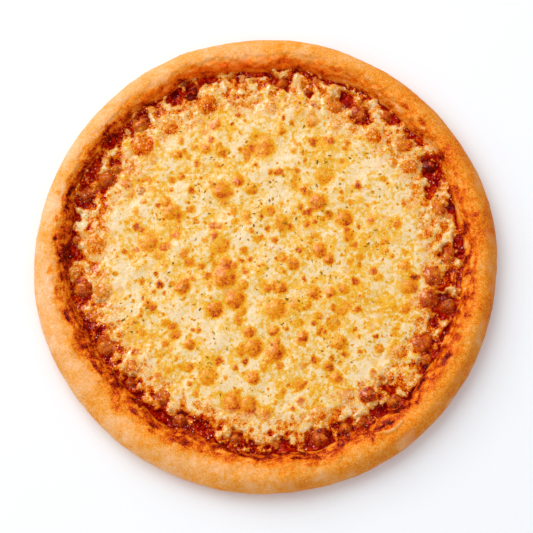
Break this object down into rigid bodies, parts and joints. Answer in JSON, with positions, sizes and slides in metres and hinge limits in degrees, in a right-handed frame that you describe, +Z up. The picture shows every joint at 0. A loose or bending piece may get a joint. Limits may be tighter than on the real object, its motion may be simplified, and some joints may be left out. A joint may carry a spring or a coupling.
{
  "type": "margherita pizza",
  "caption": "Round baked pizza with a raised golden rim, tomato sauce and browned melted cheese flecked with dried herbs.",
  "frame": {"origin": "on the table, under the middle of the round base", "axes": "+Z up through the toppings; +X and +Y lie on the table, and the side that is near in the usual view is at -Y"},
  "size_m": [0.3008, 0.2994, 0.0212],
  "materials": {
    "baked_dough": "matte, baked golden brown, dusted with flour in places",
    "tomato_sauce": "moist and glossy, darker where it baked dry",
    "melted_cheese": "oily satin, cream with orange-brown spots",
    "browned_cheese": "oily, browned dark over the sauce"
  },
  "bodies": {
    "root": {"crust": "baked_dough", "sauce": "tomato_sauce", "cheese": "melted_cheese", "cheese_blob_01": "browned_cheese", "cheese_blob_02": "browned_cheese", "cheese_blob_03": "browned_cheese", "cheese_blob_04": "browned_cheese", "cheese_blob_05": "browned_cheese", "cheese_blob_06": "browned_cheese", "cheese_blob_07": "browned_cheese", "cheese_blob_08": "browned_cheese", "cheese_blob_09": "browned_cheese", "cheese_blob_10": "browned_cheese", "cheese_blob_11": "browned_cheese", "cheese_blob_12": "browned_cheese", "cheese_blob_13": "browned_cheese", "cheese_blob_14": "browned_cheese", "cheese_blob_15": "browned_cheese", "cheese_blob_16": "browned_cheese", "cheese_blob_17": "browned_cheese", "cheese_blob_18": "browned_cheese", "cheese_blob_19": "browned_cheese", "cheese_blob_20": "browned_cheese", "cheese_blob_21": "browned_cheese", "cheese_blob_22": "browned_cheese", "cheese_blob_23": "browned_cheese"}
  },
  "joints": []
}
